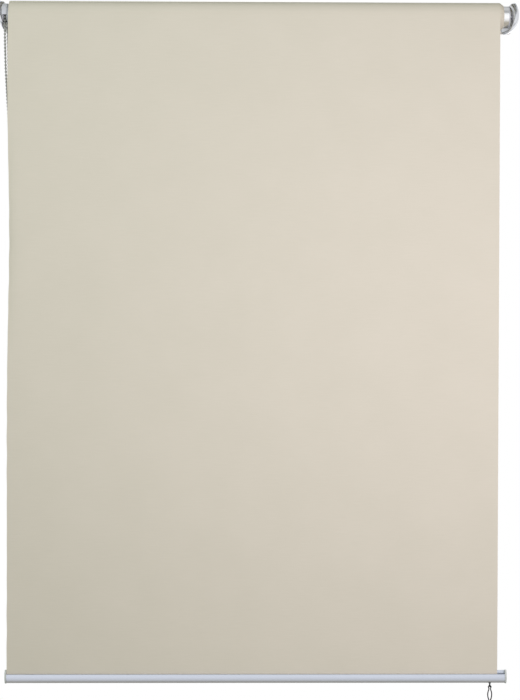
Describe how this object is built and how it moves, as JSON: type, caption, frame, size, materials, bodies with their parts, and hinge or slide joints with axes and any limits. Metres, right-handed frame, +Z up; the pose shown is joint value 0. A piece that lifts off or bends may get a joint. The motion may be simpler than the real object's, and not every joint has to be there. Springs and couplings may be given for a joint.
{
  "type": "roller blind",
  "caption": "Chain-operated roller blind: cloth wound on a tube between wall brackets with dished covers, a slotted bottom rail and a wire pull link.",
  "frame": {"origin": "on the wall plane, midway between the two brackets, level with the roller's axis", "axes": "+Z up, +Y into the wall, +X to the right as seen from the room; the blind hangs lowered"},
  "size_m": [0.9184, 0.069, 1.2358],
  "materials": {
    "bracket_zinc": "light grey powder coat, satin",
    "cover_chrome": "polished chrome plate",
    "bright_steel": "bright zinc plate",
    "spring_steel": "drawn spring wire",
    "dark_wire": "dark plated wire, glossy",
    "nylon": "moulded, pale grey",
    "cap_plastic": "moulded, grey, satin",
    "tube_aluminium": "bright drawn tube",
    "rail_aluminium": "silver anodised, satin",
    "chain_steel": "nickel plated beads",
    "blackout_cloth": "coated plain weave, cream"
  },
  "bodies": {
    "brackets": {"left_bracket": "bracket_zinc", "right_bracket": "bracket_zinc", "left_screw_upper": "bright_steel", "left_screw_lower": "bright_steel", "right_screw_upper": "bright_steel", "right_screw_lower": "bright_steel", "left_cover": "cover_chrome", "right_cover": "cover_chrome", "clutch_spindle": "bright_steel", "spindle_screw": "bright_steel", "spindle_clip": "spring_steel", "chain_guard": "nylon", "pin_bush": "nylon", "bead_chain_front": "chain_steel", "bead_chain_back": "chain_steel", "chain_over_wheel": "chain_steel", "chain_connector": "nylon", "fabric_sheet": "blackout_cloth"},
    "roller": {"roller_tube": "tube_aluminium", "fabric_spline": "nylon", "fabric_roll": "blackout_cloth", "drive_plug": "nylon", "chain_wheel": "nylon", "clutch_spring": "spring_steel", "end_plug": "nylon", "spring_stop": "nylon", "pin_spring": "spring_steel"},
    "end_pin": {"end_pin": "bright_steel"},
    "bottom_rail": {"bottom_rail": "rail_aluminium", "hem_rod": "nylon", "rail_cap_left": "cap_plastic", "rail_cap_right": "cap_plastic", "eye_screw": "bright_steel"},
    "pull_link": {"pull_link": "dark_wire"}
  },
  "joints": [
    {"name": "roller_turn", "type": "hinge", "parent": "brackets", "child": "roller", "pos_m": [0, -0.038, 0], "axis": [-1, 0, 0], "range_deg": [0, 2450]},
    {"name": "rail_lift", "type": "slide", "parent": "brackets", "child": "bottom_rail", "axis": [0, 0, 1], "range_m": [0, 1.1], "deforming": ["fabric_sheet"]},
    {"name": "pin_press", "type": "slide", "parent": "roller", "child": "end_pin", "axis": [-1, 0, 0], "range_m": [0, 0.008], "stiffness_N_per_m": 500, "springref_m": -0.008, "deforming": ["pin_spring"]},
    {"name": "link_swing", "type": "hinge", "parent": "bottom_rail", "child": "pull_link", "pos_m": [0.4113, -0.0626, -1.1811], "axis": [1, 0, 0], "range_deg": [-110, 110]}
  ],
  "couplings": [
    {"joint": "rail_lift", "follows": "roller_turn", "m_per_rad": 0.0257}
  ]
}
